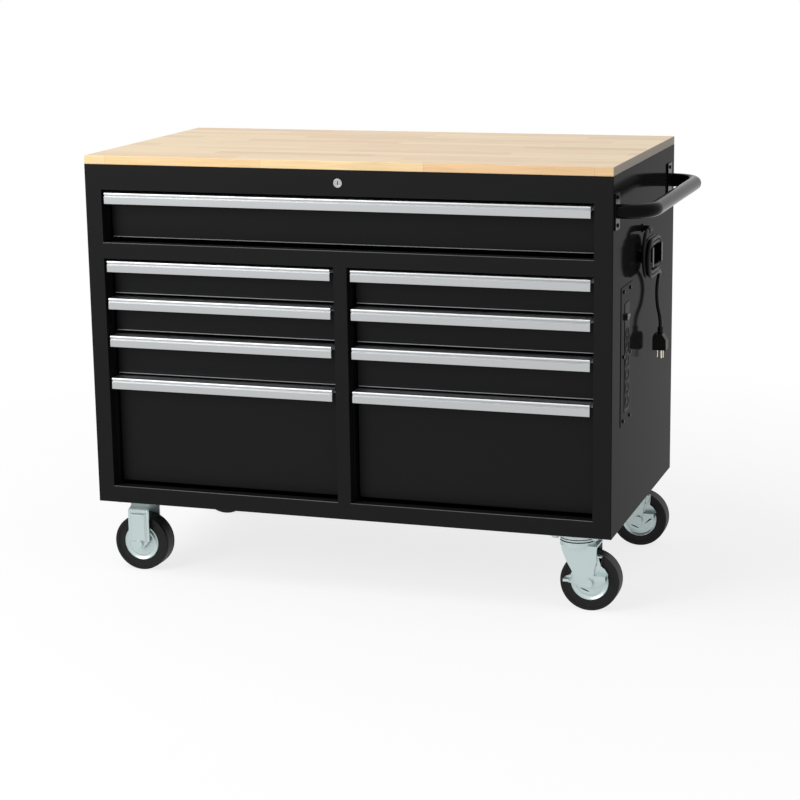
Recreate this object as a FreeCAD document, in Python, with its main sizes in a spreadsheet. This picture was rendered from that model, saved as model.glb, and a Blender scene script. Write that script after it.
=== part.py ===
import FreeCAD, Part
import math
import os
import re
import Sketcher

# Rolling tool cabinet, nine drawers, wooden worktop, push handle, power strip and four casters.
# X runs to the right, Y to the back, Z up. The origin is on the floor, under the middle of
# the whole outline, push handle included. All sizes are in millimetres.
SIZES = {
    # Steel body and wooden top
    "body_wide": 1168.4,
    "body_deep": 622.3,
    "overall_tall": 939.8,
    "wood_thick": 18.4,
    "base_up": 166.5,
    "steel": 1.2,
    "pan_steel": 1.5,
    "flange": 20.0,
    "caster_channel_wide": 112.0,
    "caster_channel_tall": 25.0,
    # Front frame and its three openings
    "frame_deep": 25.0,
    "opening_left": 547.0,
    "opening_right": 544.0,
    "stile_left": 16.8,
    "stile_right": 13.5,
    "top_opening_high": 866.0,
    "top_opening_low": 751.3,
    "column_opening_high": 716.0,
    "column_opening_low": 204.0,
    "partition_half": 15.0,
    "partition_high": 745.0,
    "left_upright_inner": 548.8,
    "right_upright_inner": 545.8,
    "upright_wide": 60.0,
    "upright_inset": 22.0,
    # Drawer fronts, from the top edge of the pull to the bottom edge of the face
    "top_high": 860.6,
    "top_low": 758.7,
    "upper_high": 711.5,
    "upper_low": 634.1,
    "middle_high": 628.9,
    "middle_low": 551.0,
    "lower_high": 545.3,
    "lower_low": 454.2,
    "bottom_high": 450.7,
    "bottom_low": 209.0,
    "pull_left": 541.0,
    "pull_right": 537.0,
    "left_pull_end": 25.0,
    "right_pull_start": 21.0,
    "pull_tall": 25.0,
    "pull_deep": 36.0,
    "pull_skin": 2.0,
    # Trays
    "tray_steel": 1.0,
    "face_return": 12.0,
    "tray_floor_up": 4.0,
    "tray_rim_down": 12.0,
    "tray_back": 290.0,
    # Telescopic slides: cabinet member, middle member and drawer member
    "slide_thick": 12.7,
    "slide_long": 508.0,
    "slide_behind_face": 36.0,
    "slide_up": 32.0,
    "member_skin": 1.2,
    "cabinet_member_half": 22.5,
    "cabinet_member_reach": 9.5,
    "middle_member_half": 19.0,
    "middle_near": 2.6,
    "middle_far": 11.0,
    "drawer_member_half": 15.5,
    "drawer_member_near": 8.2,
    # Lock in the top rail
    "lock_x": -1.5,
    "lock_up": 894.0,
    "lock_proud": 2.5,
    "lock_bezel_r": 9.5,
    "lock_barrel_r": 8.5,
    "lock_plug_r": 6.0,
    "running_gap": 0.05,
    "hole_gap": 0.2,
    "cam_long": 26.0,
    # Push handle on the right side
    "handle_reach": 83.8,
    "handle_r": 15.0,
    "handle_wall": 1.6,
    "handle_bend": 60.0,
    "handle_up": 848.5,
    "handle_front": -286.0,
    "handle_rear": 249.0,
    "bracket_thick": 3.5,
    "bracket_wide": 38.0,
    "bracket_tall": 75.0,
    "bracket_screw": 28.5,
    # Power strip on the right side
    "plate_front": -235.0,
    "plate_rear": -127.0,
    "plate_low": 388.0,
    "plate_high": 682.0,
    "plate_thick": 1.2,
    "strip_front": -203.0,
    "strip_rear": -159.0,
    "strip_low": 413.0,
    "strip_high": 645.0,
    "strip_proud": 2.2,
    "strip_deep": 31.0,
    "strip_gap": 0.3,
    "plate_screw_front": -212.0,
    "plate_screw_rear": -150.0,
    "plate_screw_low": 397.0,
    "plate_screw_mid": 534.0,
    "plate_screw_high": 671.0,
    "outlet_first_up": 434.0,
    "outlet_pitch": 29.0,
    "blade_half_gap": 6.35,
    "slot_thick": 2.2,
    "slot_long": 8.0,
    "slot_deep": 16.0,
    "ground_drop": 11.9,
    "ground_r": 2.6,
    "rocker_y": -191.0,
    "rocker_up": 615.5,
    "rocker_half_long": 9.0,
    "rocker_half_wide": 6.5,
    "rocker_r": 6.5,
    "rocker_gap": 0.4,
    "rocker_pivot_in": 2.0,
    "reset_y": -171.0,
    "reset_r": 4.0,
    "reset_proud": 3.0,
    # Screws and bolts
    "screw_r": 2.5,
    "screw_head_r": 4.8,
    "screw_head_tall": 2.8,
    "screw_long": 4.5,
    "bolt_r": 4.0,
    "bolt_head_r": 7.2,
    "bolt_head_tall": 4.5,
    "nut_tall": 6.0,
    # Casters
    "rigid_x": -506.0,
    "swivel_x": 503.0,
    "rigid_front_y": -249.0,
    "rigid_rear_y": 236.0,
    "swivel_front_y": -262.5,
    "swivel_rear_y": 235.5,
    "axle_up": 63.5,
    "swivel_offset": 29.0,
    "tyre_half": 20.5,
    "shoulder_r": 8.0,
    "core_r": 40.5,
    "core_half": 18.5,
    "core_recess": 3.0,
    "rim_wide": 6.0,
    "boss_r": 14.0,
    "axle_r": 5.0,
    "axle_head_r": 9.0,
    "axle_head_tall": 5.5,
    "boss_proud": 1.0,
    "spacer_r": 8.0,
    "leg_gap": 5.0,
    "rigid_leg_gap": 8.0,
    "leg_thick": 3.0,
    "leg_foot_r": 14.0,
    "swivel_foot_r": 10.0,
    "neck_low": 139.0,
    "neck_lean": 14.0,
    "panel_half": 20.0,
    "panel_low": 67.0,
    "panel_high": 136.0,
    "panel_proud": 4.0,
    "panel_slope": 5.0,
    "mount_half_long": 52.0,
    "mount_half_wide": 38.0,
    "mount_thick": 4.0,
    "bolt_x": 42.0,
    "bolt_y": 29.0,
    "race_r": 38.5,
    "cage_r": 35.0,
    "upper_race_low": 157.5,
    "mid_race_r": 38.0,
    "mid_race_high": 155.3,
    "mid_race_low": 152.2,
    "cage_low": 150.0,
    "lower_race_low": 143.0,
    "race_gap": 0.4,
    "crown_low": 139.0,
    "kingpin_r": 6.0,
    "kingpin_head_r": 10.0,
    "kingpin_head_low": 131.0,
    "lever_gap": 0.5,
    "lever_thick": 3.0,
    "pad_reach": 18.0,
    "pad_thick": 5.5,
    "heel_low": 9.0,
    "catch_reach": 6.0,
    # Supply cord, its relief, its two cleats and its plug
    "cord_r": 4.0,
    "cord_pitch": 8.7,
    "cord_off": 18.0,
    "wrap_up": 723.0,
    "wrap_front": -58.0,
    "wrap_rear": -2.0,
    "wrap_r": 43.0,
    "relief_y": -26.0,
    "relief_up": 778.0,
    "relief_end": -57.0,
    "relief_r": 6.5,
    "relief_bend": 18.0,
    "relief_flange_r": 9.0,
    "relief_flange": 3.0,
    "tail_start": 4.0,
    "cleat_steel": 2.0,
    "cleat_off": 32.0,
    "cleat_arm_out": 14.0,
    "cleat_arm_half": 12.0,
    "cleat_lip_out": 24.0,
    "cleat_lip_half": 21.0,
    "plug_off": 28.0,
    "plug_y": 38.0,
    "plug_low": 503.0,
    "plug_tall": 36.0,
    "plug_neck_tall": 14.0,
    "plug_half_wide": 15.0,
    "plug_half_thick": 13.0,
    "plug_neck_r": 6.5,
    "blade_long": 18.0,
}

doc = FreeCAD.newDocument("tool_cabinet")
dims = doc.addObject("Spreadsheet::Sheet", "dims")
for row, (word, number) in enumerate(SIZES.items(), start=1):
    dims.set(f"A{row}", word)
    dims.set(f"B{row}", str(number))
    dims.setAlias(f"B{row}", word)
doc.recompute()

AXES = "xyz"
TURNS = {
    "x": FreeCAD.Rotation(FreeCAD.Vector(0, 1, 0), 90),
    "y": FreeCAD.Rotation(FreeCAD.Vector(1, 0, 0), -90),
    "z": FreeCAD.Rotation(),
}
FRONT = "-body_deep / 2"
BACK = "body_deep / 2"
SIDE = "body_wide / 2"
STEEL_TOP = "overall_tall - wood_thick"
FACE = "-body_deep / 2 + pull_deep"
nodes = {}


def formula(text):
    """Point each sheet word in a text formula at the sheet."""
    return re.sub(r"[a-z]\w*", lambda match: "dims." + match.group(), text)


def size(word):
    return float(dims.get(word))


def place(item, x, y, z):
    """Put an item at a point counted from the floor under the middle of the steel body."""
    item.setExpression("Placement.Base.x", formula(f"({x}) - handle_reach / 2"))
    item.setExpression("Placement.Base.y", formula(f"({y}) + lock_proud / 2"))
    item.setExpression("Placement.Base.z", formula(z))
    return item


def box(name, x, y, z):
    """Block between a low and a high formula on each axis."""
    block = doc.addObject("Part::Box", name)
    for side, (low, high) in zip(("Length", "Width", "Height"), (x, y, z)):
        block.setExpression(side, formula(f"({high}) - ({low})"))
    return place(block, x[0], y[0], z[0])


def round_item(kind, name, axis, start, across):
    """Primitive of revolution turned onto an axis; across is its centre on the other two axes."""
    item = doc.addObject(kind, name)
    item.Placement = FreeCAD.Placement(FreeCAD.Vector(), TURNS[axis])
    centre = list(across)
    centre.insert(AXES.index(axis), start)
    return place(item, *centre)


def rod(name, axis, radius, start, end, across):
    bar = round_item("Part::Cylinder", name, axis, start, across)
    bar.setExpression("Radius", formula(radius))
    bar.setExpression("Height", formula(f"({end}) - ({start})"))
    return bar


def cone(name, axis, radius, end_radius, start, end, across):
    taper = round_item("Part::Cone", name, axis, start, across)
    taper.setExpression("Radius1", formula(radius))
    taper.setExpression("Radius2", formula(end_radius))
    taper.setExpression("Height", formula(f"({end}) - ({start})"))
    return taper


def hexagon(name, radius, low, high, across):
    prism = round_item("Part::Prism", name, "z", low, across)
    prism.Polygon = 6
    prism.setExpression("Circumradius", formula(radius))
    prism.setExpression("Height", formula(f"({high}) - ({low})"))
    return prism


def ring(name, axis, big, small, middle, across, sweep=360, begin=0):
    """Torus, or an arc of one, round an axis."""
    torus = round_item("Part::Torus", name, axis, middle, across)
    torus.setExpression("Radius1", formula(big))
    torus.setExpression("Radius2", formula(small))
    torus.Angle3 = sweep
    turn = TURNS[axis].multiply(FreeCAD.Rotation(FreeCAD.Vector(0, 0, 1), begin))
    torus.Placement = FreeCAD.Placement(torus.Placement.Base, turn)
    return torus


def fuse(name, pieces):
    joined = doc.addObject("Part::MultiFuse", name)
    joined.Shapes = pieces
    return joined


def cut(name, base, tools):
    result = doc.addObject("Part::Cut", name)
    result.Base = base
    result.Tool = tools[0] if len(tools) == 1 else fuse(name + "_tools", tools)
    return result


def group(name, pieces):
    bundle = doc.addObject("Part::Compound", name)
    bundle.Links = pieces
    return bundle


def bind(sketch, constraint, text):
    index = sketch.addConstraint(constraint)
    sketch.setExpression(f"Constraints[{index}]", formula(text))


def plate(name, plane, start, thick, corners, holes=()):
    """Flat piece padded from one of its body's planes; corners and holes are text formulas."""
    body = doc.addObject("PartDesign::Body", name)
    sketch = body.newObject("Sketcher::SketchObject", name + "_outline")
    support = next(item for item in body.Origin.OriginFeatures if item.Role == plane)
    sketch.AttachmentSupport = [(support, "")]
    sketch.MapMode = "FlatFace"
    backwards = plane == "XZ_Plane"
    offset = f"-({start})" if backwards else start
    sketch.setExpression("AttachmentOffset.Base.z", formula(offset))
    count = len(corners)
    turn = 2 * math.pi / count
    ends = [FreeCAD.Vector(math.cos(turn * index), math.sin(turn * index)) * 50 for index in range(count)]
    for index in range(count):
        sketch.addGeometry(Part.LineSegment(ends[index], ends[(index + 1) % count]))
    for index, (across, up) in enumerate(corners):
        sketch.addConstraint(Sketcher.Constraint("Coincident", index, 2, (index + 1) % count, 1))
        first = ends[index]
        bind(sketch, Sketcher.Constraint("DistanceX", -1, 1, index, 1, first.x), across)
        bind(sketch, Sketcher.Constraint("DistanceY", -1, 1, index, 1, first.y), up)
    for across, up, radius in holes:
        centre = FreeCAD.Vector(1, 1)
        hole = sketch.addGeometry(Part.Circle(centre, FreeCAD.Vector(0, 0, 1), 1))
        bind(sketch, Sketcher.Constraint("DistanceX", -1, 1, hole, 3, centre.x), across)
        bind(sketch, Sketcher.Constraint("DistanceY", -1, 1, hole, 3, centre.y), up)
        bind(sketch, Sketcher.Constraint("Radius", hole, 1), radius)
    pad = body.newObject("PartDesign::Pad", name + "_pad")
    pad.Profile = sketch
    pad.setExpression("Length", formula(thick))
    pad.Reversed = backwards
    return place(body, "0", "0", "0")


def node(name, item):
    """Name a finished sub-part."""
    item.Label = name
    nodes[name] = item


def wood_top():
    slab = box("wood_slab", (f"-{SIDE}", SIDE), (FRONT, BACK), (STEEL_TOP, "overall_tall"))
    node("wood_top", slab)


def side_skin(name, sign):
    """Side sheet with its top, bottom and rear flanges and two slide uprights welded on."""
    def span(near, far):
        return (near, far) if sign > 0 else (f"-({far})", f"-({near})")

    skin = box(name + "_skin", span(f"{SIDE} - steel", SIDE), (FRONT, BACK), ("base_up", STEEL_TOP))
    inside = span(f"{SIDE} - steel - flange", f"{SIDE} - steel")
    behind_frame = f"{FRONT} + frame_deep"
    pieces = [
        skin,
        box(name + "_top", inside, (behind_frame, f"{BACK} - steel"), (f"{STEEL_TOP} - steel", STEEL_TOP)),
        box(name + "_low", inside, (behind_frame, f"{BACK} - 2 * steel"),
            ("base_up + pan_steel", "base_up + pan_steel + steel")),
        box(name + "_rear", inside, (f"{BACK} - 2 * steel", f"{BACK} - steel"),
            ("base_up + pan_steel", STEEL_TOP)),
    ]
    heights = ("base_up + pan_steel + caster_channel_tall", f"{STEEL_TOP} - steel")
    inner = "right_upright_inner" if sign > 0 else "left_upright_inner"
    fronts = {
        "front": f"{behind_frame} + steel",
        "rear": f"{BACK} - upright_inset - upright_wide",
    }
    for where, low in fronts.items():
        post = f"{name}_{where}_upright"
        channel = box(post + "_block", span(inner, f"{SIDE} - steel"),
                      (low, f"{low} + upright_wide"), heights)
        hollow = box(post + "_hollow", span(f"{inner} + steel", f"{SIDE} - steel"),
                     (f"{low} + steel", f"{low} + upright_wide - steel"), heights)
        pieces.append(cut(post, channel, [hollow]))
    return fuse(name + "_welded", pieces)


def screw_spots():
    """Y, Z and seat of every pan-head screw on the right side."""
    spots = []
    for leg in ("handle_front", "handle_rear"):
        for sign in "-+":
            spots.append((leg, f"handle_up {sign} bracket_screw", "bracket_thick"))
    for across in ("plate_screw_front", "plate_screw_rear"):
        for up in ("plate_screw_low", "plate_screw_mid", "plate_screw_high"):
            spots.append((across, up, "plate_thick"))
    return spots


def side_panels():
    node("left_side_panel", side_skin("left_side", -1))
    through = (f"{SIDE} - steel - 1", f"{SIDE} + 1")
    tools = [box("strip_window", through, ("strip_front - strip_gap", "strip_rear + strip_gap"),
                 ("strip_low - strip_gap", "strip_high + strip_gap"))]
    for index, (across, up, _) in enumerate(screw_spots()):
        tools.append(rod(f"side_screw_hole_{index}", "x", "screw_r + hole_gap", *through, (across, up)))
    tools.append(rod("relief_hole", "x", "relief_r + hole_gap", *through, ("relief_y", "relief_up")))
    node("right_side_panel", cut("right_side_drilled", side_skin("right_side", 1), tools))


def back_and_bottom():
    across = (f"-{SIDE} + steel", f"{SIDE} - steel")
    back = box("back_sheet", across, (f"{BACK} - steel", BACK), ("base_up + pan_steel", STEEL_TOP))
    node("back_panel", back)
    deep = (f"{FRONT} + frame_deep", BACK)
    pieces = [box("bottom_sheet", across, deep, ("base_up", "base_up + pan_steel"))]
    top = "base_up + pan_steel + caster_channel_tall"
    for where in ("rigid_x", "swivel_x"):
        outer = (f"{where} - caster_channel_wide / 2", f"{where} + caster_channel_wide / 2")
        inner = (f"{outer[0]} + pan_steel", f"{outer[1]} - pan_steel")
        length = (f"{FRONT} + frame_deep", f"{BACK} - 2 * steel - flange")
        shell = box(where + "_channel_block", outer, length, ("base_up + pan_steel", top))
        hollow = box(where + "_channel_hollow", inner, length, ("base_up + pan_steel", f"{top} - pan_steel"))
        pieces.append(cut(where + "_channel", shell, [hollow]))
    tools = []
    for name, x, y in caster_bolt_spots():
        tools.append(rod(name + "_pan_hole", "z", "bolt_r + hole_gap", "base_up - 1", "base_up + pan_steel + 1", (x, y)))
    node("bottom_panel", cut("bottom_drilled", fuse("bottom_welded", pieces), tools))


def front_frame():
    """Pressed front frame: hollow rails and stiles, open to the back, round three openings."""
    deep = (FRONT, f"{FRONT} + frame_deep")
    through = (f"{FRONT} - 1", f"{FRONT} + frame_deep + 1")
    behind = (f"{FRONT} + steel", f"{FRONT} + frame_deep + 1")
    block = box("frame_block", (f"-{SIDE} + steel", f"{SIDE} - steel"), deep, ("base_up", STEEL_TOP))
    wide = ("-opening_left", "opening_right")
    column = ("column_opening_low", "column_opening_high")
    tools = [
        box("top_window", wide, through, ("top_opening_low", "top_opening_high")),
        box("left_window", ("-opening_left", "-stile_left"), through, column),
        box("right_window", ("stile_right", "opening_right"), through, column),
        rod("lock_hole", "y", "lock_barrel_r + hole_gap", *through, ("lock_x", "lock_up")),
    ]
    for name, x, y in caster_bolt_spots():
        if name.startswith("swivel_front"):
            tools.append(rod(name + "_frame_hole", "z", "bolt_r + hole_gap", "base_up - 1",
                             "base_up + 2 * steel", (x, y)))
    full = ("base_up + steel", f"{STEEL_TOP} - steel")
    rails = ("-opening_left - steel", "opening_right + steel")
    hollows = {
        "left_stile": ((f"-{SIDE} + 2 * steel", "-opening_left - steel"), full),
        "right_stile": (("opening_right + steel", f"{SIDE} - 2 * steel"), full),
        "top_rail": (rails, ("top_opening_high + steel", f"{STEEL_TOP} - steel")),
        "cross_rail": (rails, ("column_opening_high + steel", "top_opening_low - steel")),
        "bottom_rail": (rails, ("base_up + steel", "column_opening_low - steel")),
        "centre_stile": (("-stile_left + steel", "stile_right - steel"),
                         ("column_opening_low - steel", "column_opening_high + steel")),
    }
    for name, (across, up) in hollows.items():
        tools.append(box(name + "_hollow", across, behind, up))
    node("front_frame", cut("frame_pressing", block, tools))


def centre_partition():
    deep = (f"{FRONT} + frame_deep", f"{BACK} - steel")
    low = "base_up + pan_steel"
    block = box("partition_block", ("-partition_half", "partition_half"), deep, (low, "partition_high"))
    hollow = box("partition_hollow", ("-partition_half + steel", "partition_half - steel"), deep,
                 (low, "partition_high - steel"))
    node("center_partition", cut("partition_folded", block, [hollow]))


def slide_span(web, sign, near, far):
    """X limits between two distances from a slide's web, towards its drawer."""
    return (f"{web} + {near}", f"{web} + {far}") if sign > 0 else (f"{web} - {far}", f"{web} - {near}")


def channel(name, web, sign, reach, half, pockets, start, middle):
    """Slide member: a bar with straight pockets along it."""
    deep = (start, f"{start} + slide_long")
    bar = box(name + "_bar", slide_span(web, sign, *reach), deep, (f"{middle} - {half}", f"{middle} + {half}"))
    tools = []
    for index, pocket in enumerate(pockets):
        inner = f"({half} - member_skin)"
        tools.append(box(f"{name}_pocket_{index}", slide_span(web, sign, *pocket), deep,
                         (f"{middle} - {inner}", f"{middle} + {inner}")))
    return cut(name, bar, tools)


def pull_profile(high):
    """Section of the aluminium pull: lip, groove, round bead, top skin and rear flange."""
    inner = "pull_skin"
    lines = [
        ("0", "-pull_tall"),
        ("0", "-9.4"),
        ("2.4", "-8.6"),
        ("2.4", "-6.8"),
        ("0.8", "-5.6"),
        ("0.2", "-3.8"),
        ("0.6", "-1.8"),
        ("2", "-0.5"),
        ("4.2", "0"),
        ("pull_deep", "0"),
        ("pull_deep", "-pull_tall / 2"),
        (f"pull_deep - {inner}", "-pull_tall / 2"),
        (f"pull_deep - {inner}", f"-{inner}"),
        ("6.2", f"-{inner}"),
        ("4.6", "-4.5"),
        ("4.6", "-10.2"),
        (inner, "-12.4"),
        (inner, f"-pull_tall + 1.5 * {inner}"),
        (f"1.7 * {inner}", f"-pull_tall + {inner}"),
        (f"1.7 * {inner}", "-pull_tall"),
    ]
    return [(f"{FRONT} + {deep}", f"{high} + ({up})") for deep, up in lines]


def drawer(name, low, high, edges, walls, webs):
    """One drawer: folded tray with its drawer members, pull, and a pair of middle members."""
    start = f"{FACE} + face_return"
    face_block = box(name + "_face_block", edges, (FACE, start), (low, high))
    face_hollow = box(name + "_face_hollow", (f"{edges[0]} + steel", f"{edges[1]} - steel"),
                      (f"{FACE} + steel", start), (f"{low} + steel", f"{high} - steel"))
    front = f"{FACE} + steel"
    floor = f"{low} + tray_floor_up"
    rim = f"{high} - tray_rim_down"
    tray_block = box(name + "_tray_block", walls, (front, "tray_back"), (floor, rim))
    tray_hollow = box(name + "_tray_hollow", (f"{walls[0]} + tray_steel", f"{walls[1]} - tray_steel"),
                      (f"{front} + tray_steel", "tray_back - tray_steel"), (f"{floor} + tray_steel", rim))
    folded = fuse(name + "_folded", [
        cut(name + "_face", face_block, [face_hollow]),
        cut(name + "_bin", tray_block, [tray_hollow]),
    ])
    middle = f"{low} + slide_up"
    rear_of_face = f"{FACE} + slide_behind_face"
    drawer_members = []
    middle_members = []
    cabinet_members = []
    for index, (web, sign) in enumerate(webs):
        mark = f"{name}_{index}"
        cabinet_members.append(channel(
            f"{mark}_cabinet_member", web, sign, ("0", "cabinet_member_reach"), "cabinet_member_half",
            [("member_skin", "cabinet_member_reach")], rear_of_face, middle))
        web_near = "(middle_near + middle_far - member_skin) / 2"
        web_far = "(middle_near + middle_far + member_skin) / 2"
        middle_members.append(channel(
            f"{mark}_middle_member", web, sign, ("middle_near", "middle_far"), "middle_member_half",
            [("middle_near", web_near), (web_far, "middle_far")], rear_of_face, middle))
        drawer_members.append(channel(
            f"{mark}_drawer_member", web, sign, ("drawer_member_near", "slide_thick"), "drawer_member_half",
            [("drawer_member_near", "(slide_thick - member_skin)")], rear_of_face, middle))
    node(name + "_tray", group(name + "_tray_set", [folded] + drawer_members))
    node(name + "_slide_middles", group(name + "_middle_set", middle_members))
    length = f"({edges[1]}) - ({edges[0]})"
    node(name + "_pull", plate(name + "_pull_bar", "YZ_Plane", edges[0], length, pull_profile(high)))
    return cabinet_members


def drawers():
    outer_left = ("-left_upright_inner", 1)
    outer_right = ("right_upright_inner", -1)
    inner_left = ("-partition_half", -1)
    inner_right = ("partition_half", 1)
    tray_left = "-left_upright_inner + slide_thick"
    tray_right = "right_upright_inner - slide_thick"
    tray_inner = "partition_half + slide_thick"
    fixed = drawer("top", "top_low", "top_high", ("-pull_left", "pull_right"),
                   (tray_left, tray_right), [outer_left, outer_right])
    columns = {
        "left": (("-pull_left", "-left_pull_end"), (tray_left, f"-({tray_inner})"),
                 [outer_left, inner_left]),
        "right": (("right_pull_start", "pull_right"), (tray_inner, tray_right), [inner_right, outer_right]),
    }
    for side, (edges, walls, webs) in columns.items():
        for tier in ("upper", "middle", "lower", "bottom"):
            fixed += drawer(f"{side}_{tier}", f"{tier}_low", f"{tier}_high", edges, walls, webs)
    node("slide_cabinet_members", group("cabinet_member_set", fixed))


def lock():
    """Tubular lock: a bezelled barrel in the rail and a key plug with its cam behind the rail."""
    centre = ("lock_x", "lock_up")
    nose = f"{FRONT} - lock_proud"
    tail = f"{FRONT} + frame_deep - 1"
    bezel = rod("lock_bezel", "y", "lock_bezel_r", nose, FRONT, centre)
    barrel = rod("lock_tube", "y", "lock_barrel_r", FRONT, tail, centre)
    bore = rod("lock_bore", "y", "lock_plug_r + running_gap", f"{nose} - 1", f"{tail} + 1", centre)
    node("lock_barrel", cut("lock_shell", fuse("lock_body", [bezel, barrel]), [bore]))
    plug = rod("lock_core", "y", "lock_plug_r", f"{nose} + 0.4", f"{tail} + 1", centre)
    cam = box("lock_cam", ("lock_x - lock_plug_r", "lock_x + lock_plug_r"), (f"{tail} + 1", f"{tail} + 3"),
              ("lock_up - cam_long", "lock_up + lock_plug_r"))
    keyway = box("keyway", ("lock_x - 1", "lock_x + 1"), (f"{nose} - 1", f"{nose} + 15"), ("lock_up - 4", "lock_up + 4"))
    node("lock_plug", cut("lock_keyed", fuse("lock_turning", [plug, cam]), [keyway]))


def push_handle():
    """Bent round tube welded to two bracket plates."""
    axis_out = f"{SIDE} + handle_reach - handle_r"
    bend_x = f"{axis_out} - handle_bend"
    seat = f"{SIDE} + bracket_thick"

    def bent_bar(name, radius):
        legs = {"front": ("handle_front", "handle_front + handle_bend", 270),
                "rear": ("handle_rear", "handle_rear - handle_bend", 0)}
        pieces = []
        for where, (leg, centre, begin) in legs.items():
            pieces.append(rod(f"{name}_{where}_stub", "x", radius, seat, bend_x, (leg, "handle_up")))
            pieces.append(ring(f"{name}_{where}_bend", "z", "handle_bend", radius, "handle_up",
                               (bend_x, centre), 90, begin))
        pieces.append(rod(f"{name}_grip", "y", radius, "handle_front + handle_bend",
                          "handle_rear - handle_bend", (axis_out, "handle_up")))
        return fuse(name, pieces)

    tube = cut("handle_tube", bent_bar("handle_outer", "handle_r"),
               [bent_bar("handle_inner", "handle_r - handle_wall")])
    pieces = [tube]
    for leg in ("handle_front", "handle_rear"):
        corners = []
        for across, up in (("-", "-"), ("+", "-"), ("+", "+"), ("-", "+")):
            corners.append((f"{leg} {across} bracket_wide / 2", f"handle_up {up} bracket_tall / 2"))
        holes = [(leg, f"handle_up {sign} bracket_screw", "screw_r + hole_gap") for sign in "-+"]
        pieces.append(plate(leg + "_bracket", "YZ_Plane", SIDE, "bracket_thick", corners, holes))
    node("push_handle", fuse("handle_welded", pieces))


def panel_screws():
    screws = []
    for index, (across, up, seat) in enumerate(screw_spots()):
        face = f"{SIDE} + {seat}"
        spot = (across, up)
        shank = rod(f"screw_{index}_shank", "x", "screw_r", f"{face} - screw_long", face, spot)
        head = cone(f"screw_{index}_head", "x", "screw_head_r", "screw_head_r * 0.65", face,
                    f"{face} + screw_head_tall", spot)
        screws.append(fuse(f"screw_{index}", [shank, head]))
    node("panel_screws", group("screw_set", screws))


def power_unit():
    """Cover plate, outlet strip behind its window, and the strip's rocker and reset button."""
    outline = []
    for across, up in (("front", "low"), ("rear", "low"), ("rear", "high"), ("front", "high")):
        outline.append((f"plate_{across}", f"plate_{up}"))
    holes = []
    for across, up, seat in screw_spots():
        if seat == "plate_thick":
            holes.append((across, up, "screw_r + hole_gap"))
    cover = plate("power_cover", "YZ_Plane", SIDE, "plate_thick", outline, holes)
    window = box("power_cover_window", (f"{SIDE} - 1", f"{SIDE} + plate_thick + 1"),
                 ("strip_front - strip_gap", "strip_rear + strip_gap"),
                 ("strip_low - strip_gap", "strip_high + strip_gap"))
    node("power_plate", cut("power_cover_cut", cover, [window]))

    face = f"{SIDE} + strip_proud"
    pivot = f"{face} - rocker_pivot_in"
    rocker_span = ("rocker_up - rocker_half_wide", "rocker_up + rocker_half_wide")
    strip = box("strip_block", (f"{face} - strip_deep - strip_proud", face), ("strip_front", "strip_rear"),
                ("strip_low", "strip_high"))
    tools = [
        rod("rocker_well", "z", "rocker_r + rocker_gap", f"{rocker_span[0]} - rocker_gap",
            f"{rocker_span[1]} + rocker_gap", (pivot, "rocker_y")),
        rod("reset_well", "x", "reset_r + rocker_gap", f"{face} - 10", f"{face} + 1", ("reset_y", "rocker_up")),
    ]
    centre = "(strip_front + strip_rear) / 2"
    for index in range(6):
        up = f"outlet_first_up + {index} * outlet_pitch + 4"
        deep = (f"{face} - slot_deep", f"{face} + 1")
        for side in "-+":
            middle = f"{centre} {side} blade_half_gap"
            tools.append(box(f"slot_{index}_{AXES['-+'.index(side)]}", deep,
                             (f"{middle} - slot_thick / 2", f"{middle} + slot_thick / 2"),
                             (f"{up} - slot_long / 2", f"{up} + slot_long / 2")))
        tools.append(rod(f"ground_{index}", "x", "ground_r", *deep, (centre, f"{up} - ground_drop")))
    node("power_strip", cut("strip_moulding", strip, tools))

    hub = rod("rocker_hub", "z", "rocker_r", *rocker_span, (pivot, "rocker_y"))
    under = "rocker_pivot_in + 1.8"
    paddle_outline = [
        (f"{pivot} + {under}", "rocker_y - rocker_half_long"),
        (f"{pivot} + {under}", "rocker_y + rocker_half_long"),
        (f"{pivot} + {under} + 2.6", "rocker_y + rocker_half_long"),
        (f"{pivot} + {under} + 1.4", "rocker_y"),
        (f"{pivot} + {under} + 2.6", "rocker_y - rocker_half_long"),
    ]
    paddle = plate("rocker_paddle", "XY_Plane", rocker_span[0], "2 * rocker_half_wide", paddle_outline)
    node("rocker_switch", fuse("rocker_moulding", [hub, paddle]))
    button = rod("reset_pin", "x", "reset_r", f"{face} - 6", f"{face} + reset_proud", ("reset_y", "rocker_up"))
    node("reset_button", button)


def caster_bolt_spots():
    spots = []
    for kind in ("rigid", "swivel"):
        for place_on in ("front", "rear"):
            for side in "-+":
                for end in "-+":
                    name = f"{kind}_{place_on}_{'-+'.index(side)}{'-+'.index(end)}"
                    spots.append((name, f"{kind}_x {side} bolt_x", f"{kind}_{place_on}_y {end} bolt_y"))
    return spots


def caster_bolts():
    seat = "base_up - mount_thick"
    items = []
    for name, x, y in caster_bolt_spots():
        head = hexagon(name + "_head", "bolt_head_r", f"{seat} - bolt_head_tall", seat, (x, y))
        shank = rod(name + "_shank", "z", "bolt_r", seat, "base_up + pan_steel + nut_tall + 2", (x, y))
        items.append(fuse(name + "_bolt", [head, shank]))
        nut = hexagon(name + "_nut_block", "bolt_head_r", "base_up + pan_steel",
                      "base_up + pan_steel + nut_tall", (x, y))
        thread = rod(name + "_nut_bore", "z", "bolt_r + running_gap", "base_up", "base_up + 10 * pan_steel", (x, y))
        items.append(cut(name + "_nut", nut, [thread]))
    node("caster_bolts", group("bolt_set", items))


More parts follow.
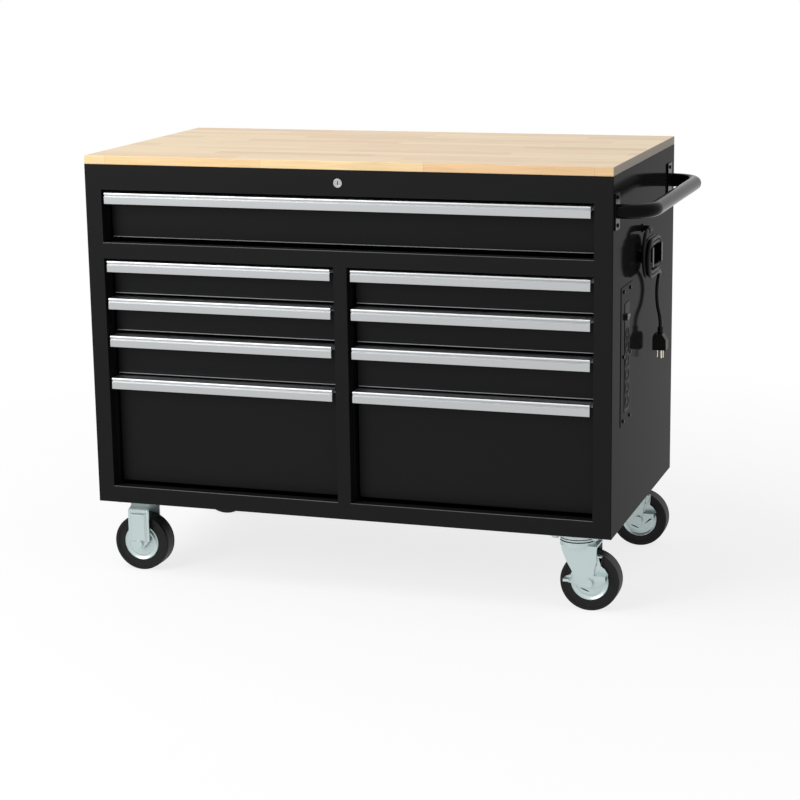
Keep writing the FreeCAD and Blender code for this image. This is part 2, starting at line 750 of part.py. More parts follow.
def mount_plate(name, x, y):
    plate_z = ("base_up - mount_thick", "base_up")
    flat = box(name + "_flat", (f"{x} - mount_half_long", f"{x} + mount_half_long"),
               (f"{y} - mount_half_wide", f"{y} + mount_half_wide"), plate_z)
    holes = []
    for spot, bolt_x, bolt_y in caster_bolt_spots():
        if spot.startswith(name):
            holes.append(rod(f"{spot}_plate_hole", "z", "bolt_r + hole_gap", f"{plate_z[0]} - 1", "base_up + 1",
                             (bolt_x, bolt_y)))
    return cut(name + "_drilled", flat, holes)


def axle_bolt(name, x, y, gap, spacer_sides):
    """Axle through both legs: a round head in front, a nut behind and spacers beside the wheel."""
    rear = f"{y} + tyre_half + {gap} + leg_thick"
    front = f"{y} - tyre_half - {gap} - leg_thick"
    centre = (x, "axle_up")
    pieces = [
        rod(name + "_pin", "y", "axle_r", front, rear, centre),
        rod(name + "_head", "y", "axle_head_r", f"{front} - axle_head_tall", front, centre),
        rod(name + "_nut", "y", "axle_head_r", rear, f"{rear} + axle_head_tall", centre),
    ]
    spans = {
        "-": (f"{y} - tyre_half - {gap}", f"{y} - tyre_half - boss_proud - lever_gap"),
        "+": (f"{y} + tyre_half + boss_proud + lever_gap", f"{y} + tyre_half + {gap}"),
    }
    for index, side in enumerate(spacer_sides):
        pieces.append(rod(f"{name}_spacer_{index}", "y", "spacer_r", *spans[side], centre))
    return fuse(name, pieces)


def leg_pair(name, x, y, outline, foot):
    """Two flat fork legs: an outline above a round foot at the axle, both drilled for it."""
    legs = []
    corners = [(f"{x} + ({across})", up) for across, up in outline]
    for where, start in (("near", f"{y} - tyre_half - leg_gap - leg_thick"), ("far", f"{y} + tyre_half + leg_gap")):
        mark = f"{name}_{where}"
        blade = plate(mark + "_blade", "XZ_Plane", start, "leg_thick", corners)
        eye = rod(mark + "_eye", "y", foot, start, f"{start} + leg_thick", (x, "axle_up"))
        hole = rod(mark + "_hole", "y", "axle_r + hole_gap", f"{start} - 1", f"{start} + leg_thick + 1",
                   (x, "axle_up"))
        legs.append(cut(mark + "_leg", fuse(mark + "_solid", [blade, eye]), [hole]))
    return legs


def bent_leg(name, x, y, sign):
    """Rigid fork leg: upright beside the wheel, leaning in over it to the plate, with a raised panel."""
    top = "base_up - mount_thick"
    back = "+" if sign == "-" else "-"
    inner = f"{y} {sign} (tyre_half + rigid_leg_gap)"
    outer = f"{inner} {sign} leg_thick"
    outline = [
        ("-22", top),
        ("-20", "neck_low + 11"),
        ("-25", "neck_low"),
        ("-25", "axle_up + 8"),
        ("-10", "axle_up - 9"),
        ("10", "axle_up - 9"),
        ("25", "axle_up + 8"),
        ("25", "neck_low"),
        ("20", "neck_low + 11"),
        ("22", top),
    ]
    side = [
        (outer, "axle_up - 20"),
        (inner, "axle_up - 20"),
        (inner, "neck_low"),
        (f"{inner} {back} neck_lean", top),
        (f"{outer} {back} neck_lean", top),
        (outer, "neck_low + 2"),
    ]
    start = outer if sign == "-" else f"{inner} - neck_lean"
    front_shape = plate(name + "_front_shape", "XZ_Plane", start, "leg_thick + neck_lean",
                        [(f"{x} + ({across})", up) for across, up in outline])
    side_shape = plate(name + "_side_shape", "YZ_Plane", f"{x} - 30", "60", side)
    blade = doc.addObject("Part::Common", name + "_blade")
    blade.Base = front_shape
    blade.Tool = side_shape
    low_y = outer if sign == "-" else inner
    eye = rod(name + "_eye", "y", "leg_foot_r", low_y, f"{low_y} + leg_thick", (x, "axle_up"))
    panel = doc.addObject("Part::Wedge", name + "_panel")
    near, far = ("", "2") if sign == "-" else ("2", "")
    sizes = {
        f"X{near}min": "-panel_half + panel_slope", f"X{near}max": "panel_half - panel_slope",
        f"Z{near}min": "panel_low + panel_slope", f"Z{near}max": "panel_high - panel_slope",
        f"X{far}min": "-panel_half", f"X{far}max": "panel_half",
        f"Z{far}min": "panel_low", f"Z{far}max": "panel_high",
        "Ymin": "0", "Ymax": "panel_proud",
    }
    for word, text in sizes.items():
        panel.setExpression(word, formula(text))
    place(panel, x, f"{outer} - panel_proud" if sign == "-" else outer, "0")
    hole = rod(name + "_hole", "y", "axle_r + hole_gap", f"{low_y} - 1", f"{low_y} + leg_thick + 1", (x, "axle_up"))
    return cut(name, fuse(name + "_solid", [blade, eye, panel]), [hole])


def rigid_casters():
    items = []
    for where in ("front", "rear"):
        name = f"rigid_{where}"
        y = name + "_y"
        legs = [bent_leg(f"{name}_{mark}_leg", "rigid_x", y, sign) for mark, sign in (("near", "-"), ("far", "+"))]
        items.append(fuse(name + "_fork", [mount_plate(name, "rigid_x", y)] + legs))
        items.append(axle_bolt(name + "_axle", "rigid_x", y, "rigid_leg_gap", "-+"))
    node("rigid_caster_forks", group("rigid_fork_set", items))


def swivel_casters():
    plates = []
    axle_x = "swivel_x + swivel_offset"
    outline = [
        ("-swivel_offset - 30", "lower_race_low"),
        ("-swivel_offset - 29", "132"),
        ("-47", "106"),
        ("-34", "83"),
        ("-12", "axle_up - 3"),
        ("-4", "axle_up - 8"),
        ("7", "axle_up - 6"),
        ("10.5", "axle_up + 12"),
        ("13", "96"),
        ("17", "110"),
        ("17", "lower_race_low"),
    ]
    for where in ("front", "rear"):
        name = f"swivel_{where}"
        y = name + "_y"
        centre = ("swivel_x", y)
        plate_low = "base_up - mount_thick"
        pin_low = "kingpin_head_low + 5"
        plates.append(fuse(name + "_top", [
            mount_plate(name, "swivel_x", y),
            rod(name + "_upper_race", "z", "race_r", "upper_race_low", plate_low, centre),
            rod(name + "_cage", "z", "cage_r", "cage_low", "upper_race_low", centre),
            rod(name + "_mid_race", "z", "mid_race_r", "mid_race_low", "mid_race_high", centre),
            rod(name + "_kingpin", "z", "kingpin_r", pin_low, "cage_low", centre),
            rod(name + "_kingpin_head", "z", "kingpin_head_r", "kingpin_head_low", pin_low, centre),
        ]))
        crown = fuse(name + "_crown", [
            rod(name + "_lower_race", "z", "race_r", "lower_race_low", "cage_low - race_gap", centre),
            rod(name + "_crown_disc", "z", "race_r", "crown_low", "lower_race_low", centre),
            box(name + "_crown_flat", ("swivel_x - 30", f"{axle_x} + 17"),
                (f"{y} - tyre_half - leg_gap - leg_thick", f"{y} + tyre_half + leg_gap + leg_thick"),
                ("crown_low", "lower_race_low")),
        ])
        bore = rod(name + "_crown_bore", "z", "kingpin_r + running_gap", "crown_low - 1", "cage_low + 1", centre)
        legs = leg_pair(name, axle_x, y, outline, "swivel_foot_r")
        fork = fuse(name + "_fork", [cut(name + "_crown_bored", crown, [bore])] + legs)
        axle = axle_bolt(name + "_axle", axle_x, y, "leg_gap", "+")
        node(where + "_swivel_fork", group(name + "_fork_set", [fork, axle]))
        brake_lever(where, axle_x, y)
    node("swivel_top_plates", group("swivel_plate_set", plates))


def brake_lever(where, x, y):
    """Stamped brake lever between wheel and front leg: a tab bent forwards at each end and a catch."""
    face = f"{y} - tyre_half - boss_proud - lever_gap"
    start = f"{face} - lever_thick"
    lines = [
        ("-52", "9"),
        ("-45", "-3"),
        ("-13", "-11"),
        ("13", "-11"),
        ("38", "3"),
        ("41", "20"),
        ("34", "31"),
        ("26", "37"),
        ("28.5", "60"),
        ("18", "62.5"),
        ("16", "38"),
        ("-20", "30"),
        ("-33", "26"),
        ("-40", "14"),
    ]
    corners = [(f"{x} + ({across})", f"axle_up + ({up})") for across, up in lines]
    name = where + "_lever"
    blade = plate(name + "_blade", "XZ_Plane", start, "lever_thick", corners)
    pad_y = (f"{start} - pad_reach", start)
    toe = box(name + "_toe", (f"{x} - 52", f"{x} - 39"), pad_y, ("axle_up + 9 - pad_thick", "axle_up + 9"))
    heel = box(name + "_heel", (f"{x} + 14", f"{x} + 39"), pad_y, ("axle_up + heel_low", "axle_up + 20"))
    catch = box(name + "_catch", (f"{x} + 18.5", f"{x} + 28"), (f"{start} - catch_reach", start),
                ("axle_up + 57", "axle_up + 60"))
    bore = rod(name + "_bore", "y", "axle_r + running_gap", f"{start} - 1", f"{face} + 1", (x, "axle_up"))
    node(where + "_brake_lever", cut(name + "_drilled", fuse(name + "_bent", [blade, toe, heel, catch]), [bore]))


def wheel(name, x, y):
    """Rubber tread with round shoulders moulded on a pressed core."""
    centre = (x, "axle_up")

    def disc(part, radius, half):
        return rod(f"{name}_{part}", "y", radius, f"{y} - {half}", f"{y} + {half}", centre)

    shoulder_at = "axle_up - shoulder_r"
    tread = [
        disc("tread", "axle_up", "(tyre_half - shoulder_r)"),
        disc("sides", shoulder_at, "tyre_half"),
    ]
    for sign in "-+":
        mark = "front" if sign == "-" else "rear"
        tread.append(ring(f"{name}_{mark}_shoulder", "y", shoulder_at, "shoulder_r",
                          f"{y} {sign} (tyre_half - shoulder_r)", centre))
    tyre = cut(name + "_tyre", fuse(name + "_rubber", tread), [disc("seat", "core_r", "(tyre_half + 1)")])
    core = disc("core", "core_r", "core_half")
    recesses = []
    for sign in "-+":
        mark = "front" if sign == "-" else "rear"
        near = f"{y} {sign} (core_half - core_recess)"
        far = f"{y} {sign} (core_half + 1)"
        low, high = (far, near) if sign == "-" else (near, far)
        wide = rod(f"{name}_{mark}_dish", "y", "core_r - rim_wide", low, high, centre)
        spared = rod(f"{name}_{mark}_spared", "y", "boss_r", low, high, centre)
        recesses.append(cut(f"{name}_{mark}_recess", wide, [spared]))
    hub = cut(name + "_dished", core, recesses)
    boss = disc("boss", "boss_r", "(tyre_half + boss_proud)")
    bore = disc("bore", "axle_r + running_gap", "(tyre_half + boss_proud + 1)")
    node(name, group(name + "_set", [tyre, cut(name + "_hub", fuse(name + "_solid", [hub, boss]), [bore])]))


def wheels():
    trailing = "swivel_x + swivel_offset"
    wheel("rigid_front_wheel", "rigid_x", "rigid_front_y")
    wheel("rigid_rear_wheel", "rigid_x", "rigid_rear_y")
    wheel("swivel_front_wheel", trailing, "swivel_front_y")
    wheel("swivel_rear_wheel", trailing, "swivel_rear_y")


def cord_cleats():
    """Two folded cleats: a foot on the side sheet, an arm through the loops and a lip over them."""
    items = []
    lip_x = f"{SIDE} + cleat_off"
    arm_up = ("wrap_up - cleat_arm_half", "wrap_up + cleat_arm_half")
    for where, centre, out in (("front", "wrap_front", "-"), ("rear", "wrap_rear", "+")):
        def away(distance):
            return f"{centre} {out} ({distance})"

        def spread(near, far):
            return (away(far), away(near)) if out == "-" else (away(near), away(far))

        inner = "cleat_arm_out - cleat_steel"
        foot = box(where + "_cleat_foot", (SIDE, f"{SIDE} + cleat_steel"), spread("-4", "cleat_arm_out"), arm_up)
        arm = box(where + "_cleat_arm", (SIDE, f"{lip_x} + cleat_steel"), spread(inner, "cleat_arm_out"), arm_up)
        lip_corners = [
            (away(inner), "wrap_up - cleat_lip_half"),
            (away("cleat_lip_out - 3"), "wrap_up - cleat_lip_half"),
            (away("cleat_lip_out"), "wrap_up - cleat_lip_half + 3"),
            (away("cleat_lip_out"), "wrap_up + cleat_lip_half - 3"),
            (away("cleat_lip_out - 3"), "wrap_up + cleat_lip_half"),
            (away(inner), "wrap_up + cleat_lip_half"),
        ]
        lip = plate(where + "_cleat_lip", "YZ_Plane", lip_x, "cleat_steel", lip_corners)
        items.append(fuse(where + "_cleat", [foot, arm, lip]))
    node("cord_cleats", group("cleat_set", items))


def strain_relief():
    """Angled relief: a flange on the sheet, an elbow, and a tapered sleeve along the sheet."""
    spot = ("relief_y", "relief_up")
    flange = rod("relief_flange_disc", "x", "relief_flange_r", SIDE, f"{SIDE} + relief_flange", spot)
    neck = rod("relief_neck", "x", "relief_r", f"{SIDE} - 8", SIDE, spot)
    elbow = ring("relief_elbow", "z", "relief_bend", "relief_r", "relief_up",
                 (SIDE, "relief_y - relief_bend"), 90, 0)
    sleeve = cone("relief_sleeve", "y", "relief_r - 1", "relief_r", "relief_end", "relief_y - relief_bend",
                  (f"{SIDE} + cord_off", "relief_up"))
    node("cord_strain_relief", fuse("relief_moulding", [flange, neck, elbow, sleeve]))


def power_plug():
    """Moulded plug hanging blades down, with a ribbed neck."""
    x = f"{SIDE} + plug_off"
    y = "plug_y"
    top = "plug_low + plug_tall"
    corners = [
        (f"{x} - plug_half_wide", "plug_low"),
        (f"{x} + plug_half_wide", "plug_low"),
        (f"{x} + plug_half_wide", f"{top} - 14"),
        (f"{x} + plug_half_wide - 9", top),
        (f"{x} - plug_half_wide + 3", top),
        (f"{x} - plug_half_wide", f"{top} - 8"),
    ]
    pieces = [plate("plug_body", "XZ_Plane", f"{y} - plug_half_thick", "2 * plug_half_thick", corners)]
    pieces.append(rod("plug_neck", "z", "plug_neck_r - 1", top, f"{top} + plug_neck_tall", (x, y)))
    for index in range(3):
        low = f"{top} + 1.5 + {index} * 4.5"
        pieces.append(rod(f"plug_rib_{index}", "z", "plug_neck_r", low, f"{low} + 2.5", (x, y)))
    for side in "-+":
        blade_x = f"{x} {side} blade_half_gap"
        mark = "near" if side == "-" else "far"
        pieces.append(box(f"plug_{mark}_blade", (f"{blade_x} - 0.8", f"{blade_x} + 0.8"),
                          (f"{y} - 3.2", f"{y} + 3.2"), ("plug_low - blade_long", "plug_low")))
    pieces.append(rod("plug_ground", "z", "2.4", "plug_low - blade_long - 3", "plug_low", (x, f"{y} + 9")))
    node("power_plug", fuse("plug_moulding", pieces))


def shifted(x, y, z):
    """Point counted from the middle of the steel body, moved to the drawing's origin."""
    return FreeCAD.Vector(x - size("handle_reach") / 2, y + size("lock_proud") / 2, z)


def arc(first, middle, last):
    return Part.Arc(first, middle, last).toShape()


def run(first, last):
    return Part.LineSegment(first, last).toShape()


def pipe(name, edges):
    """Round tube of the cord's radius along a wire."""
    wire = Part.Wire(Part.__sortEdges__(edges))
    first = edges[0]
    start = first.valueAt(first.FirstParameter)
    heading = first.tangentAt(first.FirstParameter)
    profile = Part.Wire(Part.makeCircle(size("cord_r"), start, heading))
    solid = wire.makePipeShell([profile], True, False)
    ideal = math.pi * size("cord_r") ** 2 * wire.Length
    print(f"{name}: length {wire.Length:.1f} mm, volume {solid.Volume:.0f}, section times length {ideal:.0f}")
    item = doc.addObject("Part::Feature", name + "_tube")
    item.Shape = solid
    item.Placement = FreeCAD.Placement()
    node(name, item)
    return wire


def routed(name, points):
    """Tube along straight runs joined by arcs that take up 0.45 of the shorter run at each point."""
    corner_cut = 0.45
    edges = []
    start = points[0]
    radii = []
    for before, corner, after in zip(points, points[1:], points[2:]):
        incoming = corner - before
        outgoing = after - corner
        reach = corner_cut * min(incoming.Length, outgoing.Length)
        half_turn = incoming.getAngle(outgoing) / 2
        radius = reach / math.tan(half_turn)
        radii.append(round(radius, 1))
        incoming.normalize()
        outgoing.normalize()
        entry = corner - incoming * reach
        leave = corner + outgoing * reach
        inward = outgoing - incoming
        inward.normalize()
        sagitta = radius / math.cos(half_turn) - radius
        edges.append(run(start, entry))
        edges.append(arc(entry, corner + inward * sagitta, leave))
        start = leave
    edges.append(run(start, points[-1]))
    print(f"{name}: bend radii {radii}")
    return pipe(name, edges)


def cord_lead():
    """From the relief's end forwards and down to the first loop, a few millimetres off the sheet."""
    x = size("body_wide") / 2 + size("cord_off")
    up = size("relief_up")
    front = size("wrap_front") - size("wrap_r")
    joint = size("wrap_up") + 2 * size("cord_r") + 1
    points = [
        (x, size("relief_end"), up),
        (x, front + 27, up),
        (x, front + 12, up - 8.5),
        (x, front + 3, up - 23),
        (x, front, up - 35.5),
        (x, front, joint),
    ]
    return routed("cord_lead", [shifted(*point) for point in points])


def cord_hank():
    """Loops round both cleats in two layers: inwards on the sheet's side, then outwards again."""
    front = size("wrap_front")
    rear = size("wrap_rear")
    middle = size("wrap_up")
    pitch = size("cord_pitch")
    inner = size("body_wide") / 2 + size("cord_off")
    layer = {"inner": inner, "outer": inner + pitch + 0.1}
    joint = middle + 2 * size("cord_r") + 1
    edges = []
    x = layer["inner"]
    radius = size("wrap_r")
    up = middle
    quarter = radius * math.sqrt(0.5)
    edges.append(run(shifted(x, front - radius, joint), shifted(x, front - radius, middle)))
    edges.append(arc(shifted(x, front - radius, middle), shifted(x, front - quarter, middle - quarter),
                     shifted(x, front, middle - radius)))
    level = middle - radius
    heading = 1

    def along(next_x):
        """Straight run between the cleats, or a double bend where the cord changes layer."""
        begin = front if heading > 0 else rear
        end = rear if heading > 0 else front
        if next_x == x:
            edges.append(run(shifted(x, begin, level), shifted(x, end, level)))
            return
        half = (end - begin) / 2
        rise = (next_x - x) / 2
        bend = (half ** 2 + rise ** 2) / (2 * abs(rise))
        turn = math.asin(abs(half) / bend)
        bow = bend * (1 - math.cos(turn / 2))
        step = math.copysign(bend * math.sin(turn / 2), half)
        way = math.copysign(1, rise)
        centre = shifted(x + rise, begin + half, level)
        edges.append(arc(shifted(x, begin, level), shifted(x + way * bow, begin + step, level), centre))
        edges.append(arc(centre, shifted(next_x - way * bow, end - step, level), shifted(next_x, end, level)))

    def around(radius):
        """Half turn round one cleat as two quarter arcs."""
        side = rear if heading > 0 else front
        centre = level + heading * radius
        slant = radius * math.sqrt(0.5)
        for sign in (-heading, heading):
            low = shifted(x, side, centre + sign * radius)
            extreme = shifted(x, side + heading * radius, centre)
            mid = shifted(x, side + heading * slant, centre + sign * slant)
            ends = (low, mid, extreme) if sign == -heading else (extreme, mid, low)
            edges.append(arc(*ends))
        return level + 2 * heading * radius

    shrink = [0.5, 1.0, 1.5, 2.0, 2.0, 1.5, 1.0, 0.5]
    for index, step in enumerate(shrink):
        goal = layer["inner"] if index < 4 else layer["outer"]
        along(goal)
        x = goal
        level = around(radius - step * pitch)
        heading = -heading
    edges.append(run(shifted(x, front, level), shifted(x, size("tail_start"), level)))
    wire = pipe("cord_hank", edges)
    report_gap(wire)
    return x, level


def report_gap(wire):
    """Print the least gap between loops, from points along the wire."""
    spacing = 3.0
    count = int(wire.Length / spacing)
    points = wire.discretize(Number=count)
    step = wire.Length / (count - 1)
    skip = int(70 / step)
    least = min(
        points[first].distanceToPoint(points[second])
        for first in range(count)
        for second in range(first + skip, count)
    )
    print(f"cord_hank: least gap between loops {least - 2 * size('cord_r'):.2f} mm")


def cord_tail(x, level):
    """From under the rear cleat, down towards the sheet and out again into the plug's neck."""
    start = size("tail_start")
    plug_x = size("body_wide") / 2 + size("plug_off")
    plug_top = size("plug_low") + size("plug_tall") + size("plug_neck_tall")
    points = [
        (x, start, level),
        (x, start + 20, level),
        (x - 3.5, start + 40, level - 8.5),
        (x - 10, start + 51, level - 31),
        (x - 11.3, start + 50.5, level - 58),
        (x - 7.3, start + 44, level - 85),
        (plug_x, size("plug_y"), plug_top + 18),
        (plug_x, size("plug_y"), plug_top),
    ]
    routed("cord_tail", [shifted(*point) for point in points])


def finish():
    """Check every object, then write one file for each sub-part."""
    doc.recompute()
    faults = []
    for item in doc.Objects:
        if "Invalid" in item.State or "Error" in item.State:
            faults.append(f"{item.Name}: {item.State}")
    for name, item in nodes.items():
        if item.Shape.isNull() or not item.Shape.isValid() or not item.Shape.Solids:
            faults.append(f"{name}: no valid solid")
    if faults:
        raise RuntimeError("; ".join(faults))
    os.makedirs("parts", exist_ok=True)
    for name, item in nodes.items():
        item.Shape.exportStep(os.path.join("parts", name + ".step"))
        limits = item.Shape.BoundBox
        print(f"{name}: {len(item.Shape.Solids)} solids, x {limits.XMin:.1f}..{limits.XMax:.1f}, "
              f"y {limits.YMin:.1f}..{limits.YMax:.1f}, z {limits.ZMin:.1f}..{limits.ZMax:.1f}")
    print(f"{len(nodes)} sub-parts")


wood_top()
side_panels()
back_and_bottom()
front_frame()
centre_partition()
drawers()
lock()
push_handle()
panel_screws()
power_unit()
caster_bolts()
rigid_casters()
swivel_casters()
wheels()
cord_cleats()
strain_relief()
power_plug()
cord_lead()
cord_tail(*cord_hank())
finish()
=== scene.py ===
import math

import bmesh
import bpy
from mathutils import Matrix, Vector


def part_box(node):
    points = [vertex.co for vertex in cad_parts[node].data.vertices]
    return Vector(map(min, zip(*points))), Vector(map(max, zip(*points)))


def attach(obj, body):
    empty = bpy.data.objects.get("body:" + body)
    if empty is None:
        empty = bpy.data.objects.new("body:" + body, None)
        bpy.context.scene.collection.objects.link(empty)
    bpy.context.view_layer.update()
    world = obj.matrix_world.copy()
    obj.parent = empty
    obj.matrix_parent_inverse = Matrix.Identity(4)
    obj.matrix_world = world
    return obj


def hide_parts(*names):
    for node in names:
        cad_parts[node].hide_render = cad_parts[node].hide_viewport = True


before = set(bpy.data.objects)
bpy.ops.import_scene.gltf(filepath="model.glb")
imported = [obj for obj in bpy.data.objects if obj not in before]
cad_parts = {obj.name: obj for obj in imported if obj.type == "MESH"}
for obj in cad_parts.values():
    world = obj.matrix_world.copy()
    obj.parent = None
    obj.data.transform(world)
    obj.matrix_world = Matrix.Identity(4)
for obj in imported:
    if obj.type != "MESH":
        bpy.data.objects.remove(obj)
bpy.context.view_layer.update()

# Camera: a long lens to the right of the cabinet, a little above its top, turned down and rolled
# by less than a degree.
azimuth = 0.3211
elevation = 0.2229
roll = -0.0147
camera = bpy.data.objects.new("camera", bpy.data.cameras.new("camera"))
bpy.context.scene.collection.objects.link(camera)
camera.location = (1.47578, -4.48848, 1.43662)
turn = Matrix.Rotation(azimuth, 4, "Z") @ Matrix.Rotation(math.pi / 2 - elevation, 4, "X")
camera.rotation_euler = (turn @ Matrix.Rotation(roll, 4, "Z")).to_euler()
camera.data.lens = 96.305
camera.data.clip_end = 60.0
bpy.context.scene.camera = camera


# Supply cord: a round black three-core lead with a soft extruded jacket. It leaves the strain
# relief, goes four times round two cleats in two layers, drawn in and out again, and hangs
# from them with its plug down.
def surface(name, colour, roughness, metallic=0.0, grain=900.0, relief=0.05, spread=0.06,
            stretch=(1, 1, 1), gloss=0.5):
    """Finish whose fine grain shifts its roughness by the spread and raises it a little.

    stretch draws the grain out, and gloss is the strength of the reflection seen head-on.
    """
    material = bpy.data.materials.new(name)
    material.use_nodes = True
    nodes = material.node_tree.nodes
    links = material.node_tree.links
    shader = nodes["Principled BSDF"]
    shader.inputs["Base Color"].default_value = (*colour, 1)
    shader.inputs["Metallic"].default_value = metallic
    shader.inputs["Specular IOR Level"].default_value = gloss
    place = nodes.new("ShaderNodeTexCoord")
    scale = nodes.new("ShaderNodeMapping")
    scale.inputs["Scale"].default_value = stretch
    noise = nodes.new("ShaderNodeTexNoise")
    noise.inputs["Scale"].default_value = grain
    noise.inputs["Detail"].default_value = 4
    span = nodes.new("ShaderNodeMapRange")
    span.inputs["To Min"].default_value = roughness - spread
    span.inputs["To Max"].default_value = roughness + spread
    bump = nodes.new("ShaderNodeBump")
    bump.inputs["Strength"].default_value = relief
    grain_height = 0.0005
    bump.inputs["Distance"].default_value = grain_height
    links.new(place.outputs["Object"], scale.inputs["Vector"])
    links.new(scale.outputs["Vector"], noise.inputs["Vector"])
    links.new(noise.outputs["Fac"], span.inputs["Value"])
    links.new(span.outputs["Result"], shader.inputs["Roughness"])
    links.new(noise.outputs["Fac"], bump.inputs["Height"])
    links.new(bump.outputs["Normal"], shader.inputs["Normal"])
    return material


cord_radius = 0.004
cord_pitch = 0.0087
layer_gap = 0.0001
side_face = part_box("right_side_panel")[1].x
inner_layer = side_face + 0.018
outer_layer = inner_layer + cord_pitch + layer_gap
plug_line = side_face + 0.028
wrap_front = -0.05675
wrap_rear = -0.00075
wrap_up = 0.723
wrap_radius = 0.043
fan = math.radians(15)
layer_change = 0.15
relief_up = 0.778
relief_end = (inner_layer, -0.05575, relief_up)
route = [
    relief_end,
    (inner_layer, -0.07275, relief_up),
    (inner_layer, -0.08775, 0.7695),
    (inner_layer, -0.09675, 0.755),
    (inner_layer, -0.09975, 0.7425),
    (inner_layer, -0.09975, 0.732),
]


def fan_points(layer, across, up, radius, first, count):
    """Add points round a cleat that draw an arc of that radius, a twelfth of a turn apart."""
    reach = radius / math.cos(fan)
    for step in range(count):
        angle = first + fan * (2 * step + 1)
        route.append((layer, across + reach * math.cos(angle), up + reach * math.sin(angle)))


fan_points(inner_layer, wrap_front, wrap_up, wrap_radius, math.pi, 3)
level = wrap_up - wrap_radius
layer = inner_layer
heading = 1
inner_bends = 4
for bend, tighter in enumerate((0.5, 1.0, 1.5, 2.0, 2.0, 1.5, 1.0, 0.5)):
    begin, end = (wrap_front, wrap_rear) if heading > 0 else (wrap_rear, wrap_front)
    route.append((layer, begin + layer_change * (end - begin), level))
    layer = inner_layer if bend < inner_bends else outer_layer
    route.append((layer, end - layer_change * (end - begin), level))
    radius = wrap_radius - tighter * cord_pitch
    fan_points(layer, end, level + heading * radius, radius, -heading * math.pi / 2, 6)
    level += 2 * heading * radius
    heading = -heading
route += [
    (outer_layer, wrap_front + 0.009, level),
    (outer_layer, 0.00525, level),
    (outer_layer, 0.02525, level),
    (outer_layer - 0.0035, 0.04525, 0.6715),
    (outer_layer - 0.01, 0.05625, 0.649),
    (outer_layer - 0.0113, 0.05575, 0.622),
    (outer_layer - 0.0073, 0.04925, 0.595),
    (plug_line, 0.03925, 0.571),
    (plug_line, 0.03925, 0.553),
]
cord_line = bpy.data.curves.new("supply_cord", "CURVE")
cord_line.dimensions = "3D"
spline = cord_line.splines.new("NURBS")
spline.points.add(len(route) - 1)
for point, spot in zip(spline.points, route):
    point.co = (*spot, 1)
spline.order_u = 3
spline.use_endpoint_u = True
spline.resolution_u = 5
cord_line.bevel_depth = cord_radius
cord_line.bevel_resolution = 4
cord_line.use_fill_caps = True
cord = bpy.data.objects.new("supply_cord", cord_line)
bpy.context.scene.collection.objects.link(cord)
jacket = surface("cord_jacket", (0.006, 0.006, 0.0065), 0.38, grain=1600, relief=0.08, gloss=0.12)
cord.data.materials.append(jacket)
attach(cord, "cabinet")
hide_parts("cord_lead", "cord_hank", "cord_tail")


# Plug and strain relief: soft black mouldings on the cord's two ends. The plug has a ribbed neck,
# two flat blades and a round ground pin of bright brass plate.
def select_sharp(piece, wanted, least=0.5):
    """Select the edges that turn by more than the least angle and lie in the wanted place."""
    mesh = bmesh.from_edit_mesh(piece.data)
    for edge in mesh.edges:
        turned = len(edge.link_faces) == 2 and edge.calc_face_angle() > least
        edge.select_set(turned and wanted(edge.verts[0].co, edge.verts[1].co))
    bmesh.update_edit_mesh(piece.data)


def rework(node, name, body, edge, segments=2, wanted=lambda first, second: True):
    """Copy of a CAD node with merged corners and rounded edges, standing for that node."""
    bpy.ops.object.select_all(action="DESELECT")
    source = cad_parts[node]
    piece = bpy.data.objects.new(name, source.data.copy())
    bpy.context.scene.collection.objects.link(piece)
    piece.data.materials.clear()
    piece.select_set(True)
    bpy.context.view_layer.objects.active = piece
    bpy.ops.mesh.customdata_custom_splitnormals_clear()
    bpy.ops.object.mode_set(mode="EDIT")
    bpy.ops.mesh.select_mode(type="EDGE")
    bpy.ops.mesh.select_all(action="SELECT")
    bpy.ops.mesh.remove_doubles(threshold=0.000002)
    bpy.ops.mesh.dissolve_limited(angle_limit=math.radians(0.5))
    bpy.ops.mesh.select_all(action="DESELECT")
    select_sharp(piece, wanted)
    bpy.ops.mesh.bevel(offset=edge, offset_type="OFFSET", segments=segments, profile=0.5,
                       clamp_overlap=True)
    bpy.ops.object.mode_set(mode="OBJECT")
    bpy.ops.object.shade_smooth_by_angle(angle=math.radians(50))
    facing = piece.modifiers.new("facing", "WEIGHTED_NORMAL")
    facing.keep_sharp = True
    bpy.ops.object.modifier_apply(modifier=facing.name)
    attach(piece, body)
    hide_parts(node)
    return piece


plug = rework("power_plug", "moulded_plug", "cabinet", 0.0007)
blade_plate = surface("blade_plate", (0.82, 0.76, 0.6), 0.22, metallic=1.0, grain=700, relief=0.03)
plug.data.materials.append(jacket)
plug.data.materials.append(blade_plate)
blade_root = 0.5028
for face in plug.data.polygons:
    face.material_index = int(face.center.z < blade_root)
relief = rework("cord_strain_relief", "moulded_relief", "cabinet", 0.0006)
relief.data.materials.append(jacket)


# Studio: a white floor that takes the cabinet's soft shadow and fades into an even white surround,
# one wide lamp above and one in front, both to the left.
bpy.ops.object.select_all(action="DESELECT")
bpy.ops.mesh.primitive_plane_add(size=40, location=(0, 0, 0))
floor = bpy.context.object
floor.name = "studio_floor"
floor_paint = bpy.data.materials.new("floor_paint")
floor_paint.use_nodes = True
floor_nodes = floor_paint.node_tree.nodes
floor_links = floor_paint.node_tree.links
floor_nodes["Principled BSDF"].inputs["Base Color"].default_value = (0.86, 0.86, 0.86, 1)
floor_nodes["Principled BSDF"].inputs["Roughness"].default_value = 0.9
floor_nodes["Principled BSDF"].inputs["Specular IOR Level"].default_value = 0.0
seen_floor = floor_nodes.new("ShaderNodeBsdfDiffuse")
shadow_depth = 0.22
seen_floor.inputs["Color"].default_value = (shadow_depth, shadow_depth, shadow_depth, 1)
lift = floor_nodes.new("ShaderNodeEmission")
